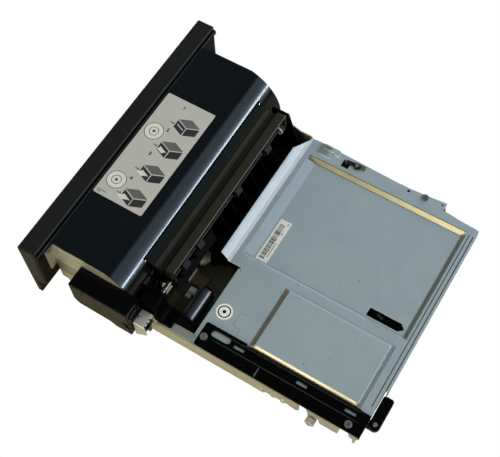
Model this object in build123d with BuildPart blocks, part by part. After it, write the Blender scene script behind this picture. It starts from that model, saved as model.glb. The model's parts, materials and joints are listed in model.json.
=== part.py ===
"""Page-wide note transport unit: fascia, transport under a nosed cover, and a holding tray behind.

Frame: +X along the fascia, +Y from the fascia to the rear, +Z up. The origin is the middle of the
unit's base. Places from front to rear are given as a depth behind the fascia's front face.
"""
import os
from math import atan2, degrees, pi

from build123d import *

# ---------------------------------------------------------------- driving dimensions (mm)
LENGTH = 300.0  # fascia, end to end
DEPTH = 350.6  # fascia front to the rear latch lever
HEIGHT = 88.0  # fascia, top to bottom
HALF = LENGTH / 2
GAP = 0.3  # between pieces that move past each other
RUN = 0.05  # radial clearance of a running fit

FASCIA_DEPTH = 18.7
FASCIA_LIP = 6.2  # thickness of the fascia's front wall
COVER_X = (-123.3, 129.8)
COVER_FRONT = 22.6
COVER_TOP = 86.0
COVER_WALL = 2.0
NOSE_CENTRE = (64.0, 40.35)  # depth, height
NOSE_RADIUS = 48.2
NOSE_BOTTOM = 39.0
FLAP_OPENING = (-103.0, 97.0)
FLAP_RIM = (98.6, 0.8)  # depth of the cover's edge along the flap, and its skin there
FLAP_X = (-101.0, 95.5)
FLAP_PIVOT = (99.5, 69.5)
PIVOT_PIN = 1.5

STEEL = 1.2  # thickness of the plated sheet
PLATE_X = 129.8  # outer face of the near side plate
FAR_PLATE_X = -118.7
TRAY_TOP = 31.8
PAN_Z = 7.0
PAN_TOP = PAN_Z + STEEL

NEAR_FRAME_X = (111.0, 113.5)
FAR_FRAME_X = (-108.0, -105.3)
SLOT_X = -3.0  # middle of the note slot
SLOT_WIDTH = 190.0
NOTE_Z = 59.0  # height of the note path

FEED_AXIS = (66.0, 49.5)
FEED_SHAFT = 3.0
FEED_TYRE = NOTE_Z - FEED_AXIS[1]
EXIT_AXIS = (126.0, 56.0)
EXIT_SHAFT = 2.5
EXIT_TYRE = 6.5
PINCH_SHAFT = 2.0
PINCH_ROLLER = 5.0
PINCH_AXIS = (FEED_AXIS[0], NOTE_Z + GAP + PINCH_ROLLER)
TYRE_PLACES = (-68.0, -14.0, 52.0, 76.0)
BELT_X = (-98.0, -94.0)
PULLEY = 5.0
BELT_THICK = 1.0

GEAR_MODULE = 0.8
FEED_TEETH = 36
MOTOR_TEETH = 12
MOTOR_AXIS = (FEED_AXIS[0] + GEAR_MODULE * (FEED_TEETH + MOTOR_TEETH) / 2, FEED_AXIS[1])
CENTRING_TEETH = 20
CENTRING_AXIS = (46.3, 125.8)  # x, depth

GUIDE_ROLLER_AXIS = (150.5, 25.0)
GUIDE_ROLLER = 7.0
LEVER_PIN = (110.2, 345.7)  # x, depth
SIDE_LATCH_PIVOT = (-109.4, 207.8)
GUIDE_WHEEL_AXIS = (294.0, 14.0)
FLAG_PIVOT = (321.0, 24.0)
RAIL_SCREWS = ((120.0, 175.2), (124.2, 326.0))
FAR_SCREW = (-111.6, 281.6)
BOLT_SPACING = (160.0, 120.0)
BOLT_MIDDLE = (-5.0, 240.0)  # x, depth


def back(depth):
    """Y of a point this far behind the fascia's front face."""
    return depth - DEPTH / 2


def block(xs, depths, zs, mode=Mode.ADD):
    """A box that spans these ranges of x, depth and height."""
    middle = (sum(xs) / 2, back(sum(depths) / 2), sum(zs) / 2)
    with Locations(middle):
        Box(xs[1] - xs[0], depths[1] - depths[0], zs[1] - zs[0], mode=mode)


def bar(xs, axis, radius, mode=Mode.ADD):
    """A round bar along X about an axis given by depth and height."""
    with BuildSketch(Plane.YZ.offset(xs[0])) as disc:
        with Locations((back(axis[0]), axis[1])):
            Circle(radius)
    extrude(disc.sketch, amount=xs[1] - xs[0], mode=mode)


def post(place, zs, radius, mode=Mode.ADD):
    """A round upright at an x and depth."""
    with BuildSketch(Plane.XY.offset(zs[0])) as disc:
        with Locations((place[0], back(place[1]))):
            Circle(radius)
    extrude(disc.sketch, amount=zs[1] - zs[0], mode=mode)


def profile(xs, corners, mode=Mode.ADD):
    """A (depth, height) outline drawn out along X."""
    with BuildSketch(Plane.YZ.offset(xs[0])) as side:
        with BuildLine():
            Polyline(*[(back(depth), z) for depth, z in corners], close=True)
        make_face()
    extrude(side.sketch, amount=xs[1] - xs[0], mode=mode)


def outline(zs, corners, mode=Mode.ADD):
    """An (x, depth) outline drawn up along Z."""
    with BuildSketch(Plane.XY.offset(zs[0])) as flat:
        with BuildLine():
            Polyline(*[(x, back(depth)) for x, depth in corners], close=True)
        make_face()
    extrude(flat.sketch, amount=zs[1] - zs[0], mode=mode)


def rounded_pad(xs, depths, zs, radius, mode=Mode.ADD):
    """A flat pad with rounded corners."""
    with BuildSketch(Plane.XY.offset(zs[0])) as flat:
        with Locations((sum(xs) / 2, back(sum(depths) / 2))):
            RectangleRounded(xs[1] - xs[0], depths[1] - depths[0], radius)
    extrude(flat.sketch, amount=zs[1] - zs[0], mode=mode)


def pressing(outer_x, outer_depth, inner_x, inner_depth, zs, radius, mode):
    """A rectangular form with sloped sides, as a press tool leaves in sheet."""
    spans = ((outer_x, outer_depth), (inner_x, inner_depth))
    ends = []
    for (xs, depths), z in zip(spans, zs):
        with BuildSketch(Plane.XY.offset(z)) as end:
            with Locations((sum(xs) / 2, back(sum(depths) / 2))):
                RectangleRounded(xs[1] - xs[0], depths[1] - depths[0], radius)
        ends.append(end.sketch)
    loft(ends, mode=mode)


def nose_outline(inset):
    """Closed side outline of the cover, its skin set in by this much."""
    top = COVER_TOP - inset
    radius = NOSE_RADIUS - inset
    depth, z = NOSE_CENTRE
    start = depth + (radius**2 - (top - z) ** 2) ** 0.5
    middle = Vector(back(depth), z) + Vector(radius, 0).rotate(Axis.Z, 40)
    front = back(COVER_FRONT - inset)
    low = NOSE_BOTTOM - inset
    with BuildLine() as skin:
        rear = back(depth + radius)
        Polyline((rear, z), (rear, low), (front, low), (front, top), (back(start), top))
        ThreePointArc((back(start), top), (middle.X, middle.Y), (rear, z))
    make_face(skin.line.edges())


def gear_outline(teeth, module=GEAR_MODULE, start=0.0):
    """Spur gear outline with backlash, one tooth at the start angle."""
    pitch = teeth * module / 2
    root = pitch - 1.2 * module
    with BuildSketch(mode=Mode.PRIVATE) as tooth:
        flank = [(root - 0.3, 0.8), (pitch, 0.56), (pitch + 0.8 * module, 0.26)]
        points = [(r, w * module) for r, w in flank]
        Polygon(*points, *[(r, -w) for r, w in reversed(points)], align=None)
    Circle(root)
    with PolarLocations(0, teeth, start_angle=start):
        add(tooth.sketch)


def gear(xs, axis, teeth, start, bore):
    """Spur gear along X with a bored middle."""
    face = Plane(origin=(xs[0], back(axis[0]), axis[1]), x_dir=(0, 1, 0), z_dir=(1, 0, 0))
    with BuildSketch(face) as wheel:
        gear_outline(teeth, start=start)
        Circle(bore, mode=Mode.SUBTRACT)
    extrude(wheel.sketch, amount=xs[1] - xs[0])


def pan_screw(plane, length=5.0):
    """Cross-recessed pan-head screw whose head stands on the plane."""
    with BuildSketch(plane) as head:
        Circle(3.5)
    extrude(head.sketch, amount=2.0)
    with BuildSketch(plane) as shank:
        Circle(1.5)
    extrude(shank.sketch, amount=-length)
    with BuildSketch(plane.offset(2.0)) as recess:
        Rectangle(3.6, 0.9)
        Rectangle(0.9, 3.6)
    extrude(recess.sketch, amount=-1.2, mode=Mode.SUBTRACT)


# ---------------------------------------------------------------- fascia
with BuildPart() as front_fascia:
    under_lip = [(FASCIA_DEPTH, 29.7), (FASCIA_LIP, 22.4), (FASCIA_LIP, 0)]
    profile((-HALF, HALF), [(0, 0), (0, HEIGHT), (FASCIA_DEPTH, HEIGHT), *under_lip])
    fillet(front_fascia.edges().filter_by(Axis.X).group_by(Axis.Z)[-1], 1.5)
    fillet(front_fascia.edges().filter_by(Axis.Z).group_by(Axis.Y)[0], 2.0)
    block((-HALF + 3.2, HALF - 3.2), (FASCIA_LIP, 20), (-1, HEIGHT - 3), Mode.SUBTRACT)
    with BuildSketch(Plane.XZ.offset(-back(0))):
        with Locations((SLOT_X, NOTE_Z)):
            SlotOverall(SLOT_WIDTH, 9)
    extrude(amount=-FASCIA_LIP, mode=Mode.SUBTRACT)
    with BuildSketch(Plane.XZ.offset(-back(0))):
        with Locations((SLOT_X, NOTE_Z)):
            SlotOverall(SLOT_WIDTH + 6, 15)
    extrude(amount=-3, taper=45, mode=Mode.SUBTRACT)

with BuildPart() as fascia_backplate:
    block((-HALF + 3.5, HALF - 3.5), (16.7, FASCIA_DEPTH), (29, 84.8))
    block((-HALF + 2, HALF - 2), (FASCIA_DEPTH, 21.9), (81, 85.4))
    for x in (-125, 0, 125):
        block((x - 5, x + 5), (FASCIA_LIP, 16.7), (70, 80))
    block((SLOT_X - 98, SLOT_X + 98), (16, 19), (NOTE_Z - 6, NOTE_Z + 6), Mode.SUBTRACT)

# ---------------------------------------------------------------- top cover and flap
with BuildPart() as top_cover:
    with BuildSketch(Plane.YZ.offset(COVER_X[0])):
        nose_outline(0)
    extrude(amount=COVER_X[1] - COVER_X[0])
    with BuildSketch(Plane.YZ.offset(COVER_X[0] + COVER_WALL)):
        nose_outline(COVER_WALL)
    extrude(amount=COVER_X[1] - COVER_X[0], mode=Mode.SUBTRACT)
    block(FLAP_OPENING, (FLAP_RIM[0], 115), (30, 80), Mode.SUBTRACT)
    with BuildSketch(Plane.YZ.offset(FLAP_OPENING[0])):
        nose_outline(FLAP_RIM[1])
        with Locations((back(FLAP_RIM[0] - 1), 60)):
            Rectangle(2.6, 42, mode=Mode.INTERSECT)
    extrude(amount=FLAP_OPENING[1] - FLAP_OPENING[0], mode=Mode.SUBTRACT)
    for x in (FLAP_OPENING[0] - COVER_WALL, FLAP_OPENING[1]):
        with BuildSketch(Plane.YZ.offset(x)):
            nose_outline(COVER_WALL - 0.1)
            with Locations((back(102), 60)):
                Rectangle(24, 42, mode=Mode.INTERSECT)
        extrude(amount=COVER_WALL)
        bar((x, x + COVER_WALL), FLAP_PIVOT, PIVOT_PIN, Mode.SUBTRACT)

with BuildPart() as instruction_label:
    rounded_pad((-60.3, 66.7), (23.8, 77.4), (COVER_TOP, COVER_TOP + 0.2), 1.5)

with BuildPart() as flap_pins:
    bar((FLAP_OPENING[0] - COVER_WALL, FLAP_X[0] + 5), FLAP_PIVOT, PIVOT_PIN)
    bar((FLAP_X[1] - 5, FLAP_OPENING[1] + COVER_WALL), FLAP_PIVOT, PIVOT_PIN)

FLAP_SKIN = 2.0
FLAP_TOP = [(101, 71.6), (105, 71.4), (110, 70.6), (114, 68.4), (118.5, 68), (121.5, 73.6), (131.4, 75.6)]
flap_under = [(depth, z - FLAP_SKIN) for depth, z in reversed(FLAP_TOP)]
with BuildPart() as jam_flap:
    profile(FLAP_X, [(99.5, 71.6), *FLAP_TOP, *flap_under, (99.5, 69)])
    bar(FLAP_X, FLAP_PIVOT, 2.3)
    for x in (FLAP_X[0], FLAP_X[1] - FLAP_SKIN):
        end = [(103, 61.5), (121, 60.6), (130.2, 60.6), (130.2, 56), (132, 56), (131.4, 75)]
        profile((x, x + FLAP_SKIN), [(101, 70), *end, (121.5, 73), (118.5, 67.5), (110, 70)])
        bar((x, x + FLAP_SKIN), (126, 67.3), 1.6, Mode.SUBTRACT)
    for x in (FLAP_X[0], FLAP_X[1] - 5):
        bar((x, x + 5), FLAP_PIVOT, PIVOT_PIN + RUN, Mode.SUBTRACT)

IDLER_AXIS = (126.0, 67.3)
with BuildPart() as flap_idlers:
    bar((FLAP_X[0] + 0.2, FLAP_X[1] - 0.2), IDLER_AXIS, 1.55)
    for x in TYRE_PLACES:
        bar((x - 4, x + 4), IDLER_AXIS, 4.0)

# ---------------------------------------------------------------- frame
FLANGE_TOP = 80.8
with BuildPart() as side_plate_near:
    with BuildSketch(Plane.YZ.offset(PLATE_X - STEEL)):
        nose_outline(COVER_WALL)
    extrude(amount=STEEL)
    block((120, 135), (0, 23), (FLANGE_TOP, 90), Mode.SUBTRACT)
    lower_edge = [
        (19, 37), (19, 14), (56, 10), (118, 10), (124, PAN_Z), (243, PAN_Z), (246, 12), (268, 13.6),
        (277, 10), (280, 14), (280, 30.2), (287.5, 30.2), (289, 22), (290, 9), (298, 9), (299, 22),
        (302, 11), (319.5, 11), (321, 30.2), (329.5, 30.2), (330.5, 21), (334, 20), (334.5, 11),
        (336.5, 11), (337.5, 24), (340, 28),
    ]
    upper_edge = [(340, 31.6), (167, 31.6), (167, 33.6), (131, 33.6), (124, 38.6), (109, 38.6)]
    profile((PLATE_X - STEEL, PLATE_X), lower_edge + upper_edge)
    block((PLATE_X - STEEL, 138.4), (19, 19 + STEEL), (44, FLANGE_TOP))
    block((PLATE_X - STEEL, PLATE_X), (19, 22), (36, FLANGE_TOP))
    bar((120, 135), GUIDE_WHEEL_AXIS, 1.5, Mode.SUBTRACT)
    block((122, PLATE_X), (145, 167), (32.4, 33.6))
    block((120, 135), (29, 38), (77.8, 79.4), Mode.SUBTRACT)
    block((120, 135), (25, 37), (30, 31.8), Mode.SUBTRACT)
    bar((120, 135), MOTOR_AXIS, 7, Mode.SUBTRACT)
    with BuildSketch(Plane.XZ.offset(-back(19 + STEEL))):
        with Locations((134.2, 77)):
            Circle(1.5)
    extrude(amount=STEEL, mode=Mode.SUBTRACT)
    for depth in (240, 252, 262):
        block((PLATE_X - STEEL, PLATE_X + 1.6), (depth, depth + 4), (15, 18))

with BuildPart() as side_plate_far:
    with BuildSketch(Plane.YZ.offset(FAR_PLATE_X)):
        nose_outline(COVER_WALL)
    extrude(amount=STEEL)
    block((-120, -110), (0, 23), (FLANGE_TOP, 90), Mode.SUBTRACT)
    far_lower = [(24, 38), (24, PAN_Z), (303, PAN_Z), (303, 18), (186, 20), (180, 27)]
    far_upper = [(154, 27), (152, 31.6), (140, 31.6), (124, 38.6), (109, 38.6)]
    profile((FAR_PLATE_X, FAR_PLATE_X + STEEL), far_lower + far_upper)
    bar((-120, -115), GUIDE_WHEEL_AXIS, 1.5, Mode.SUBTRACT)
    for depth in (40, 60, 80):
        block((-125, -110), (depth, depth + 12), (70, 73), Mode.SUBTRACT)

with BuildPart() as base_pan:
    near_edge = [(PLATE_X - STEEL, 24), (PLATE_X - STEEL, 232), (119, 236), (119, 333)]
    far_edge = [
        (-111, 333), (-114.6, 308), (-114.6, 303), (FAR_PLATE_X + STEEL, 303), (FAR_PLATE_X + STEEL, 24),
    ]
    outline((PAN_Z, PAN_TOP), near_edge + far_edge)
    block((PLATE_X - 2 * STEEL, PLATE_X - STEEL), (40, 230), (PAN_Z, 20))
    block((119 - STEEL, 119), (240, 333), (PAN_Z, 20))
    block((FAR_PLATE_X + STEEL, FAR_PLATE_X + 2 * STEEL), (40, 200), (PAN_Z, 18))
    block((-114.6, -113.4), (215, 303), (PAN_Z, TRAY_TOP - 1))
    outline((PAN_Z, 20), [far_edge[2], (-113.4, 303), (-113.4, 308), (-109.8, 333), *far_edge[:2]])
    block((-111, 119), (333 - STEEL, 333), (PAN_Z, 18))
    with BuildSketch(Plane.XY.offset(PAN_Z)):
        with Locations((BOLT_MIDDLE[0], back(BOLT_MIDDLE[1]))):
            with GridLocations(*BOLT_SPACING, 2, 2):
                Circle(2.25)
    extrude(amount=STEEL, mode=Mode.SUBTRACT)
    block((104, 116), (331, 333), (PAN_TOP, 19.8))
    block((106, 114.4), (331, 345.7), (17.5, 19.8))
    post(LEVER_PIN, (17.5, 21), 4.2)
    post(LEVER_PIN, (17, 22), 1.5, Mode.SUBTRACT)

with BuildPart() as glide_runners:
    for x in (-95, 97):
        with BuildSketch(Plane.XY):
            with Locations((x, back(190))):
                SlotOverall(262, 10, rotation=90)
        extrude(amount=PAN_Z)
    chamfer(glide_runners.faces().group_by(Axis.Z)[0].edges(), 1.0)


def inner_frame(xs, rear):
    """Moulded frame: under the nose, below its rear edge, then a rear outline of its own."""
    with BuildSketch(Plane.YZ.offset(xs[0])) as under_nose:
        nose_outline(COVER_WALL + 0.8)
    extrude(under_nose.sketch, amount=xs[1] - xs[0])
    block((xs[0] - 1, xs[1] + 1), (0, 26), (0, 90), Mode.SUBTRACT)
    profile(xs, [(26, PAN_TOP), (26, 38), (109.4, 38), (112.8, 38), *rear, (168, PAN_TOP)])
    for axis, radius in ((FEED_AXIS, 5), (EXIT_AXIS, 3.6)):
        bar(xs, axis, radius, Mode.SUBTRACT)
    bar(xs, PINCH_AXIS, PINCH_SHAFT + RUN, Mode.SUBTRACT)


with BuildPart() as inner_frame_near:
    near_rear = [(112.8, 61), (128.6, 61), (130.2, 57), (131, 46), (132.5, 39), (136, 37), (146, 37)]
    inner_frame(NEAR_FRAME_X, [*near_rear, (164, 28.5), (168, 28)])
    bar(NEAR_FRAME_X, GUIDE_ROLLER_AXIS, 2 + RUN, Mode.SUBTRACT)

with BuildPart() as inner_frame_far:
    far_rear = [(112.8, 69), (131, 69), (135.3, 53), (140, 41), (144, 30)]
    inner_frame(FAR_FRAME_X, [*far_rear, (168, 28)])

with BuildPart() as near_guard:
    guard = [(112.8, 60), (128.4, 60), (130.2, 56), (131, 45), (132.5, 38), (136, 36), (146, 36), (165, 28)]
    under = [(depth - 1.8, z - 1.8) for depth, z in reversed(guard[1:-1])]
    profile((113.8, 121.6), [*guard, (165, 26), *under, (112.8, 58)])
    profile((121.6, 128.2), [*guard[:6], (144.6, 36), (144.6, 34), *under[1:], (112.8, 58)])

with BuildPart() as drive_cover:
    profile((PLATE_X, HALF), [(52, 38), (52, 69), (115.4, 69), (115.4, 26), (98, 26), (92, 30), (57, 31)])
    fillet(drive_cover.edges().filter_by(Axis.X).group_by(Axis.Y)[0], 2.5)
    fillet(drive_cover.faces().sort_by(Axis.X)[-1].edges(), 1.2)
    profile((PLATE_X - 1, HALF - 2), [(54, 39), (54, 67), (113.4, 67), (113.4, 33), (58, 33)], Mode.SUBTRACT)
    profile((HALF - 1, HALF), [(108, 50), (116, 47), (116, 34), (112, 38)], Mode.SUBTRACT)
    with BuildSketch(Plane.XZ.offset(-back(115.4))):
        with Locations((140.4, 56)):
            Ellipse(7.6, 6.4, rotation=25)
            Ellipse(6.4, 5.2, rotation=25, mode=Mode.SUBTRACT)
    extrude(amount=-0.9)

with BuildPart() as side_bracket:
    profile((PLATE_X, 145.2), [(116.3, 20.5), (116.3, 47), (128.2, 47), (129.6, 32.5)])
    fillet(side_bracket.edges().filter_by(Axis.Y).group_by(Axis.X)[-1].group_by(Axis.Z)[-1], 1.0)
    block((PLATE_X + STEEL, 145.2 - STEEL), (116.3 + STEEL, 130), (20, 47 - STEEL), Mode.SUBTRACT)
    for x in (130.8, 134.9, 139.0, 143.1):
        block((x - 0.7, x + 0.7), (126.6, 130), (40, 48), Mode.SUBTRACT)
    with BuildSketch(Plane.XY.offset(47)):
        with Locations((137.6, back(118.4))):
            Rectangle(3.6, 2.8)
            with Locations((0, 0.6)):
                Rectangle(2.0, 2.8, mode=Mode.SUBTRACT)
    extrude(amount=-0.4, mode=Mode.SUBTRACT)

with BuildPart() as bracket_plunger:
    profile((131.4, 143.6), [(120.8, 24), (120.8, 45), (126.2, 45), (126.8, 31)])
    block((135.6, 139.2), (125, 129.6), (29, 37.5))
    fillet(bracket_plunger.faces().sort_by(Axis.Y)[-1].edges(), 0.8)

# ---------------------------------------------------------------- tray cover and rail
LARGE_PANEL = ((-98, 30), (160, 333), (-94, 26.4), (170.5, 328.7))
SMALL_PANEL = ((38.8, 106.8), (214, 328), (42, 103.3), (219.5, 324.5))
PANEL_STEP = 3.0


def grown(spans, by):
    """The same four ranges, each wider by this much at both ends."""
    return [(low - by, high + by) for low, high in spans]


with BuildPart() as metal_cover:
    far_side = [
        (-116.6, 154.5), (-116.6, 160), (-117.8, 171), (-117.4, 181.8), (-116.2, 188), (-113.7, 258),
        (-115.4, 284), (-117.1, 303), (-108.4, 303), (-108.2, 309), (-106.8, 320), (-106.2, 329.5),
        (-105.6, 340),
    ]
    near_side = [
        (128.3, 340), (128.3, 165.6), (44.9, 165.6), (43.8, 167.4), (42.8, 167.2), (42.7, 155.1),
        (40, 154.5),
    ]
    outline((TRAY_TOP - 1, TRAY_TOP), far_side + near_side)
    pressing(*grown(LARGE_PANEL, 1), (TRAY_TOP - 0.4, TRAY_TOP - PANEL_STEP - 1), 3, Mode.ADD)
    pressing(*LARGE_PANEL, (TRAY_TOP, TRAY_TOP - PANEL_STEP), 2.5, Mode.SUBTRACT)
    pressing(*SMALL_PANEL, (TRAY_TOP - 0.4, TRAY_TOP + PANEL_STEP), 3, Mode.ADD)
    pressing(*grown(SMALL_PANEL, -1), (TRAY_TOP - 1, TRAY_TOP + PANEL_STEP - 1), 2.5, Mode.SUBTRACT)
    flare = [(144, 37.6), (148, 35.1), (151.6, 33.2), (155, 31.8), (155, 30.8), (151.2, 32.2), (143.6, 36.8)]
    profile((-116.6, 43), flare)
    far_cut = [(-120, 154.6), (-116.8, 154.4), (-94.4, 144.2), (-94.4, 140), (-120, 140)]
    near_cut = [(40.3, 143), (41.4, 148.7), (42.8, 155.5), (46, 155.5), (46, 143)]
    for cut in (far_cut, near_cut):
        outline((31.9, 40), cut, Mode.SUBTRACT)
    rear_lip = [(339, 31.2), (342, 31.2), (342, 20), (341, 20), (341, 30.4), (339, 30.4)]
    profile((-105.6, 80), rear_lip)
    block((-88, 100), (339.4, 340.1), (TRAY_TOP - 0.6, 40), Mode.SUBTRACT)
    block((-98, 100), (335.4, 336.0), (TRAY_TOP - 0.4, 40), Mode.SUBTRACT)
    block((-117.5, -116.3), (158, 180), (20, TRAY_TOP - 0.5))
    for x in (-80, -40, 20):
        block((x, x + 24), (338, 343), (25.5, 27.5), Mode.SUBTRACT)
    block((15, 24), (290, 320), (20, 40), Mode.SUBTRACT)
    outline((20, 40), [(15, 319), (24, 319), (24, 322), (19.7, 327), (15, 322)], Mode.SUBTRACT)
    block((-112.3, -102.6), (193, 201), (20, 40), Mode.SUBTRACT)
    rounded_pad((-116.6, -104), (164.6, 184.6), (TRAY_TOP - 0.3, TRAY_TOP + 0.7), 4.5, Mode.ADD)
    rounded_pad((-116.8, -111.6), (167, 186.6), (TRAY_TOP - 0.3, TRAY_TOP + 1.3), 2, Mode.ADD)
    block((-115, -113.8), (171, 177), (20, 40), Mode.SUBTRACT)
    block((-113.6, -110.2), (182.2, 187.2), (TRAY_TOP, TRAY_TOP + 1.8))
    post((-111, 264.2), (20, 40), 1.5, Mode.SUBTRACT)
    post(FAR_SCREW, (20, 40), 1.5, Mode.SUBTRACT)
    post((-113.4, 299.6), (20, 40), 1.2, Mode.SUBTRACT)
    post((-2.5, 268.0), (20, 40), 0.7, Mode.SUBTRACT)
    post(SIDE_LATCH_PIVOT, (20, 40), 1.5, Mode.SUBTRACT)
    for place in RAIL_SCREWS:
        post(place, (20, 40), 1.5, Mode.SUBTRACT)

with BuildPart() as cover_rail:
    rail_near = PLATE_X + 0.2
    rail_edge = [(105.5, 170), (rail_near, 170), (rail_near, 340), (107.4, 340), (107.4, 213), (105.5, 213)]
    outline((TRAY_TOP, TRAY_TOP + 2.2), rail_edge)
    fillet(cover_rail.edges().filter_by(Axis.Z).group_by(Axis.Y)[0], 2.0)
    block((118.4, 131), (180, 340.1), (TRAY_TOP + 1.6, TRAY_TOP + 3), Mode.SUBTRACT)
    with BuildSketch(Plane.XY.offset(TRAY_TOP)):
        with Locations((112.2, back(188.8))):
            SlotOverall(20, 6.5, rotation=90)
        for depth in (203, 268, 317):
            with Locations((113.5, back(depth + 5.5))):
                Rectangle(3, 11)
        with Locations((124.4, back(233))):
            Rectangle(11, 1.2)
    extrude(amount=3, mode=Mode.SUBTRACT)
    for place in RAIL_SCREWS:
        post(place, (TRAY_TOP - 1, TRAY_TOP + 3), 1.5, Mode.SUBTRACT)

with BuildPart() as rail_screws:
    pan_screw(Plane((RAIL_SCREWS[0][0], back(RAIL_SCREWS[0][1]), TRAY_TOP + 2.2)))
    pan_screw(Plane((RAIL_SCREWS[1][0], back(RAIL_SCREWS[1][1]), TRAY_TOP + 1.6)))

with BuildPart() as cover_screws:
    pan_screw(Plane((FAR_SCREW[0], back(FAR_SCREW[1]), TRAY_TOP)))
    pan_screw(Plane((134.2, back(19 + STEEL), 77), x_dir=(1, 0, 0), z_dir=(0, 1, 0)), STEEL + 0.3)

with BuildPart() as barcode_label:
    rounded_pad((-23, 26), (172.5, 184.5), (TRAY_TOP - PANEL_STEP, TRAY_TOP - PANEL_STEP + 0.15), 0.5)

with BuildPart() as badge_label:
    post((88.8, 177.6), (TRAY_TOP, TRAY_TOP + 0.15), 8)

# ---------------------------------------------------------------- guides in the mouth
with BuildPart() as upper_guide:
    block((-91, NEAR_FRAME_X[0]), (26, 87), (60.6, 61.9))
    block((-91, 96.6), (87, 94), (60.6, 61.9))
    for x in TYRE_PLACES:
        block((x - 6, x + 6), (59.5, 72.5), (60, 65), Mode.SUBTRACT)

with BuildPart() as lower_guide:
    block((-91, NEAR_FRAME_X[0]), (26, 87), (54, 55.5))
    block((-91, 96.6), (87, 106), (54, 55.5))
    for x in TYRE_PLACES:
        block((x - 6.5, x + 6.5), (56, 76), (53, 58), Mode.SUBTRACT)
    block((-94, 88), (34, 44), (53, 58), Mode.SUBTRACT)

RIB_PITCH = 18.0
RIB_PLACES = [-77 + RIB_PITCH * i for i in range(7)]
with BuildPart() as ribbed_guide:
    block((-92, NEAR_FRAME_X[0]), (108, 110), (PAN_TOP, 38))
    block((-92, 96.5), (108, 110), (38, 56.5))
    block((-92, 33), (110, 112), (PAN_TOP, 46))
    rib_top = [(127, 51.5), (118, 51.5), (114, 57), (110, 58)]
    for x in RIB_PLACES:
        profile((x - 1.2, x + 1.2), [(110, PAN_TOP), (137, PAN_TOP), (135.5, 22), (130, 40), *rib_top])
    for x in (62, 84.6, 95):
        profile((x - 1.2, x + 1.2), [(110, 40), (128, 46), (132.4, 49.8), (132.4, 51.5), *rib_top[1:]])
    chute = [(109, 47.4), (127, 47.4), (132.7, 39.2), (133.5, 39.8), (127.6, 48.6), (109, 48.6)]
    profile((32.2, 96.5), chute)
    block((32, 46), (135.3, 136.7), (PAN_TOP, 31))
    wall = [(46, 135.3), (46, 137), (41, 143.6), (41.2, 148.7), (39.8, 149), (39.5, 143.2), (43.6, 135.3)]
    outline((PAN_TOP, 31), wall)
    wall_end = [(41.2, 148), (42.3, 155.1), (42.3, 164.8), (41, 164.8), (41, 155.3), (39.8, 148)]
    outline((17, TRAY_TOP - 1.2), wall_end)

with BuildPart() as sensor_block:
    block((77, 88), (132, 137), (PAN_TOP, 14.6))
    block((77, 83), (132, 139), (PAN_TOP, 16))
    chamfer(sensor_block.faces().sort_by(Axis.Z)[-1].edges(), 0.5)

with BuildPart() as felt_pad:
    block((60.5, 72.5), (127.6, 142.6), (PAN_TOP, 12))

with BuildPart() as steel_clips:
    block((59, 73.6), (126.4, 127.6), (PAN_TOP, 16.6))
    block((59, 73.6), (125.2, 126.4), (PAN_TOP, PAN_TOP + 1.2))

with BuildPart() as roller_bracket:
    profile((73.6, 76.6), [(146, PAN_TOP), (155, PAN_TOP), (153.5, 27.5), (147.5, 27.5)])
    bar((73, 77), GUIDE_ROLLER_AXIS, 2 + RUN, Mode.SUBTRACT)

with BuildPart() as guide_roller:
    bar((77.5, 110.6), GUIDE_ROLLER_AXIS, GUIDE_ROLLER)
    chamfer(guide_roller.edges().filter_by(GeomType.CIRCLE), 0.4)
    for x in (79.2, 108.6):
        with BuildSketch(Plane.YZ.offset(x)):
            with Locations((back(GUIDE_ROLLER_AXIS[0]), GUIDE_ROLLER_AXIS[1])):
                Circle(GUIDE_ROLLER + 1)
                Circle(GUIDE_ROLLER - 0.3, mode=Mode.SUBTRACT)
        extrude(amount=0.4, mode=Mode.SUBTRACT)
    bar((77, 111), GUIDE_ROLLER_AXIS, 2, Mode.SUBTRACT)

with BuildPart() as guide_roller_shaft:
    bar((72.6, 114.5), GUIDE_ROLLER_AXIS, 2)

# ---------------------------------------------------------------- drive
with BuildPart() as feed_shaft:
    bar((FAR_FRAME_X[0] - 1.5, 127), FEED_AXIS, FEED_SHAFT)

with BuildPart() as feed_tyres:
    for x in TYRE_PLACES:
        bar((x - 5, x + 5), FEED_AXIS, FEED_TYRE)
    bar((-120, 130), FEED_AXIS, FEED_SHAFT, Mode.SUBTRACT)

with BuildPart() as feed_gear:
    gear((121, 126), FEED_AXIS, FEED_TEETH, 0, FEED_SHAFT)

with BuildPart() as feed_pulley:
    bar((BELT_X[0] - 0.3, BELT_X[1] + 0.3), FEED_AXIS, PULLEY)
    bar((BELT_X[1] + 0.3, BELT_X[1] + 1.3), FEED_AXIS, PULLEY + BELT_THICK)
    bar((-100, -90), FEED_AXIS, FEED_SHAFT, Mode.SUBTRACT)

with BuildPart() as motor_pinion:
    gear((120.5, 126.5), MOTOR_AXIS, MOTOR_TEETH, 180 / MOTOR_TEETH, 1)
    bar((120, 142), MOTOR_AXIS, 1.5)

with BuildPart() as drive_motor:
    bar((PLATE_X, 144), MOTOR_AXIS, 16)
    fillet(drive_motor.edges().filter_by(GeomType.CIRCLE).sort_by(Axis.X)[-1], 1.5)
    bar((PLATE_X - 1, 142.3), MOTOR_AXIS, 1.5 + RUN, Mode.SUBTRACT)

with BuildPart() as exit_shaft:
    bar((FAR_FRAME_X[0] - 1.5, NEAR_FRAME_X[1] + 0.1), EXIT_AXIS, EXIT_SHAFT)

with BuildPart() as exit_tyres:
    for x in TYRE_PLACES:
        bar((x - 4, x + 4), EXIT_AXIS, EXIT_TYRE)
    bar((-120, 130), EXIT_AXIS, EXIT_SHAFT, Mode.SUBTRACT)

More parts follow.
